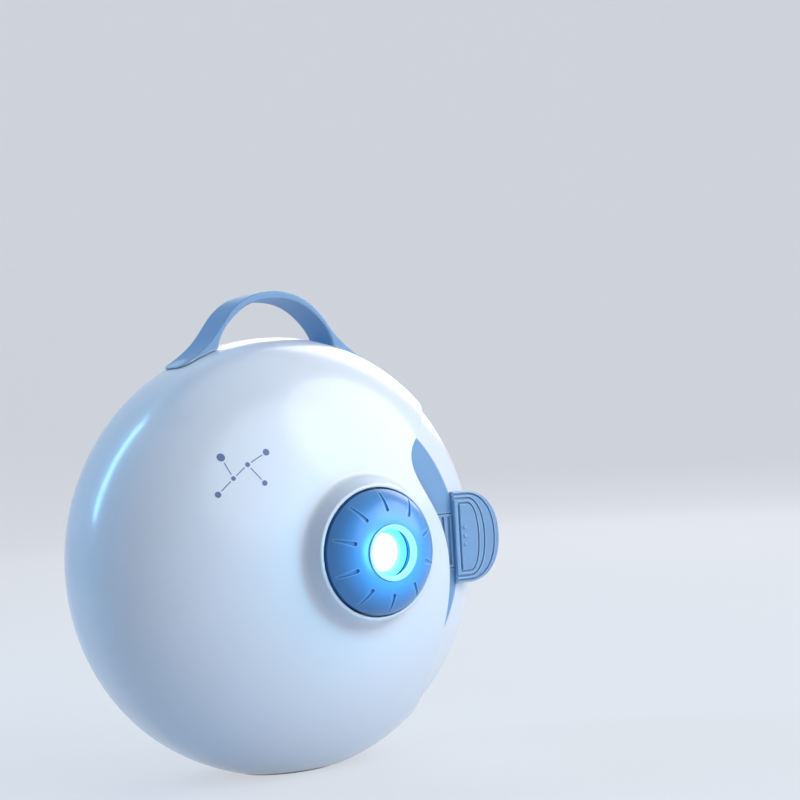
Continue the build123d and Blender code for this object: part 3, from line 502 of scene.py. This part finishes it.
def studio_paper():
    """Pale paper, evened out for what the camera and reflections see so that it stays plain."""
    m = Mat("studio_paper", (0.58, 0.62, 0.68), 0.9)
    m.tint(m.noise(3.0), (0.57, 0.61, 0.67), (0.59, 0.63, 0.69))
    plain = m.node("Emission")
    plain.inputs["Color"].default_value = (0.80, 0.84, 0.90, 1)
    rays = m.node("LightPath")
    seen = rays.outputs["Is Camera Ray"]
    for kind in ("Is Glossy Ray", "Is Transmission Ray"):
        either = m.node("Math", operation="MAXIMUM")
        m.link(seen, either.inputs[0])
        m.link(rays.outputs[kind], either.inputs[1])
        seen = either.outputs["Value"]
    part = m.node("Math", operation="MULTIPLY")
    m.link(seen, part.inputs[0])
    part.inputs[1].default_value = PAPER_PLAIN
    mix = m.node("MixShader")
    m.link(part.outputs["Value"], mix.inputs["Fac"])
    m.link(m.bsdf.outputs["BSDF"], mix.inputs[1])
    m.link(plain.outputs["Emission"], mix.inputs[2])
    m.link(mix.outputs["Shader"], m.tree.nodes["Material Output"].inputs["Surface"])
    return m


def outward(azimuth, elevation):
    """Unit vector to an azimuth from the front and an elevation, in radians."""
    return Vector((math.sin(azimuth) * math.cos(elevation), -math.cos(azimuth) * math.cos(elevation),
                   math.sin(elevation)))


def lamp(name, place, back, shape, size, watts, color):
    """Area lamp at a place, shining against the direction back."""
    data = bpy.data.lights.new(name, "AREA")
    data.shape = shape
    data.size, data.size_y = size
    data.energy = watts
    data.color = color
    light = bpy.data.objects.new(name, data)
    light.location = place
    light.rotation_euler = (-back).to_track_quat("-Z", "Y").to_euler()
    bpy.context.scene.collection.objects.link(light)


def studio():
    world = bpy.data.worlds.new("studio")
    bpy.context.scene.world = world
    world.use_nodes = True
    sky = world.node_tree.nodes["Background"]
    sky.inputs["Color"].default_value = (*WORLD_COLOR, 1)
    sky.inputs["Strength"].default_value = WORLD_STRENGTH
    for name, azimuth, elevation, distance, *light in LAMPS:
        back = outward(math.radians(azimuth), math.radians(elevation))
        lamp(name, Vector((0, 0, BODY_Z)) + back * distance, back, *light)
    ahead = outward(0, 0)
    lamp("spill", LENS + ahead * SPILL_AHEAD, ahead, "ELLIPSE", (0.016, 0.016), 0.009, (0.15, 0.72, 1.0))


def camera():
    """The photograph's viewing angle."""
    azimuth, elevation, roll = math.radians(-34.34), math.radians(-0.873), math.radians(3.22)
    place = (-0.2993, -0.5183, BODY_Z + 0.0419)
    back = outward(azimuth, elevation)
    right = Vector((math.cos(azimuth), math.sin(azimuth), 0))
    up = back.cross(right)
    turned_right = right * math.cos(roll) - up * math.sin(roll)
    turned_up = right * math.sin(roll) + up * math.cos(roll)
    data = bpy.data.cameras.new("camera")
    data.sensor_width = 36.0
    data.lens = 77.46
    data.clip_start, data.clip_end = 0.02, 20.0
    cam = bpy.data.objects.new("camera", data)
    cam.matrix_world = Matrix((turned_right, turned_up, back)).transposed().to_4x4()
    cam.location = place
    bpy.context.scene.collection.objects.link(cam)
    bpy.context.scene.camera = cam


dress_nodes()
make_pieces()
camera()
pale_floor()
studio()
bpy.context.scene.view_settings.view_transform = "Standard"
